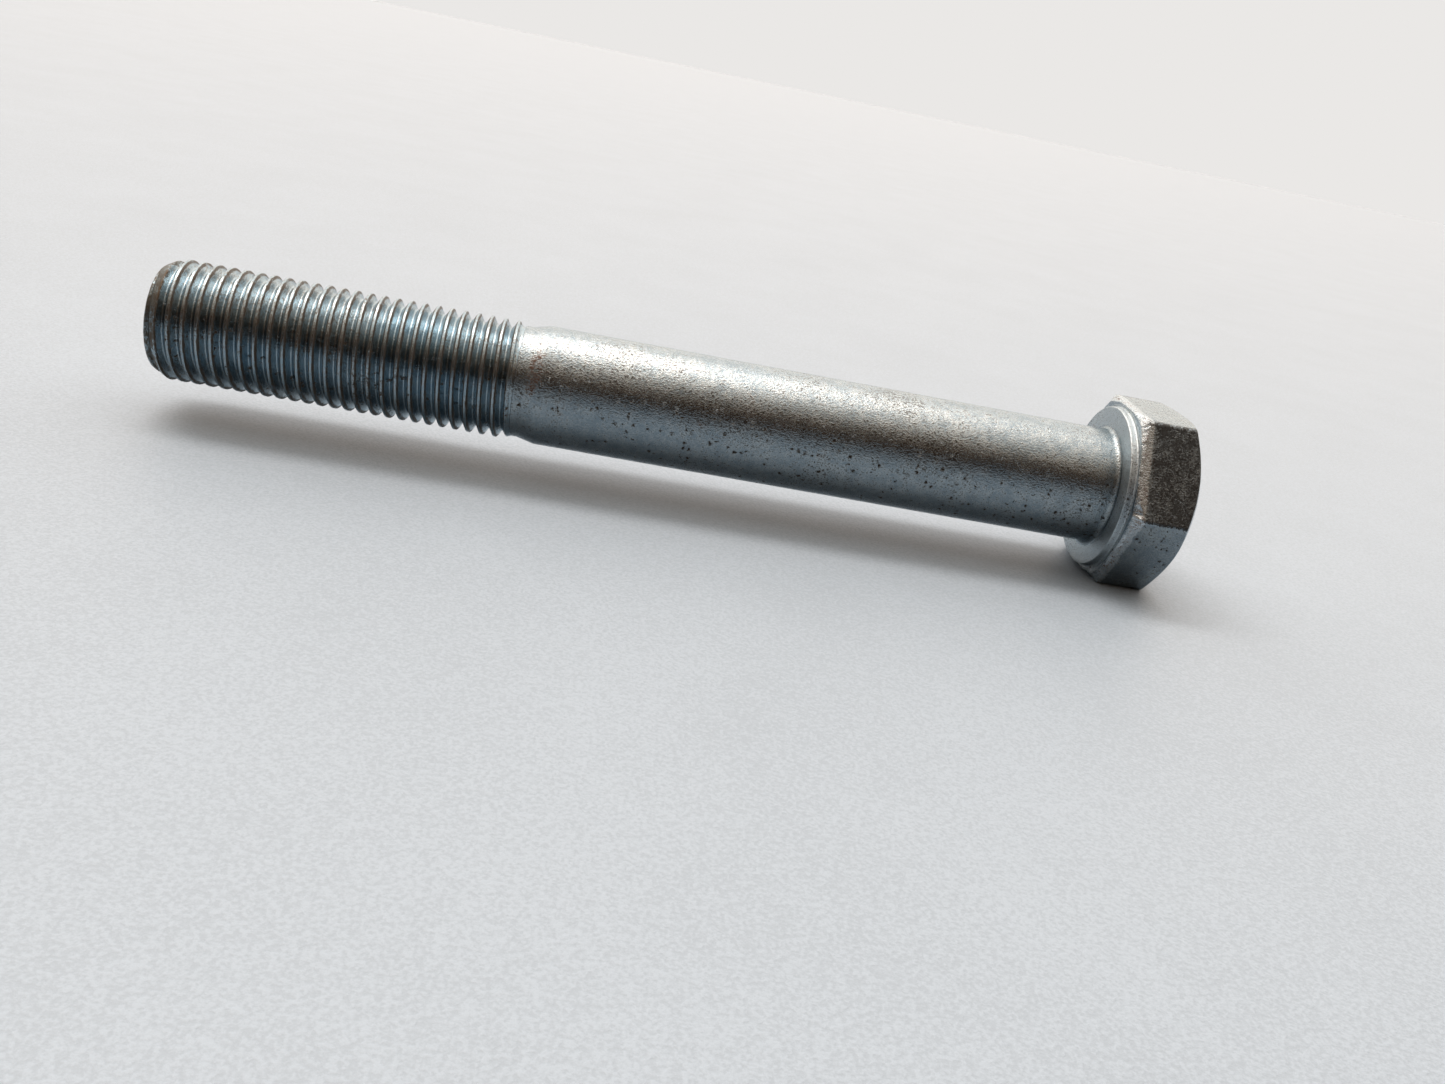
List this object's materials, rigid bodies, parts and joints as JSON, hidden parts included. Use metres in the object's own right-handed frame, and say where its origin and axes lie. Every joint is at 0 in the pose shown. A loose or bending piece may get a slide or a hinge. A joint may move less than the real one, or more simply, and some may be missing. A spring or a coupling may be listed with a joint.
{
  "type": "hex bolt",
  "caption": "Zinc-plated hex cap screw with a washer face, a plain shank and a fine right-hand thread on the last third, for clamping two parts together.",
  "frame": {"origin": "on the screw's axis, in the plane of the bearing face under the head", "axes": "+X along the axis towards the top of the head, with the shank and point towards -X; one flat of the hexagon faces -Z"},
  "size_m": [0.0821, 0.0164, 0.0142],
  "materials": {
    "zinc_head": "bright clear zinc on a forged and trimmed head, with brown stains",
    "zinc_seat": "smooth clear zinc",
    "zinc_shank": "satin clear zinc with fine pits and specks",
    "zinc_thread": "bright bluish zinc on a rolled thread"
  },
  "bodies": {
    "root": {"hex_head": "zinc_head", "washer_face": "zinc_seat", "head_fillet": "zinc_shank", "shank": "zinc_shank", "neck": "zinc_shank", "thread": "zinc_thread", "point": "zinc_thread"}
  },
  "joints": []
}
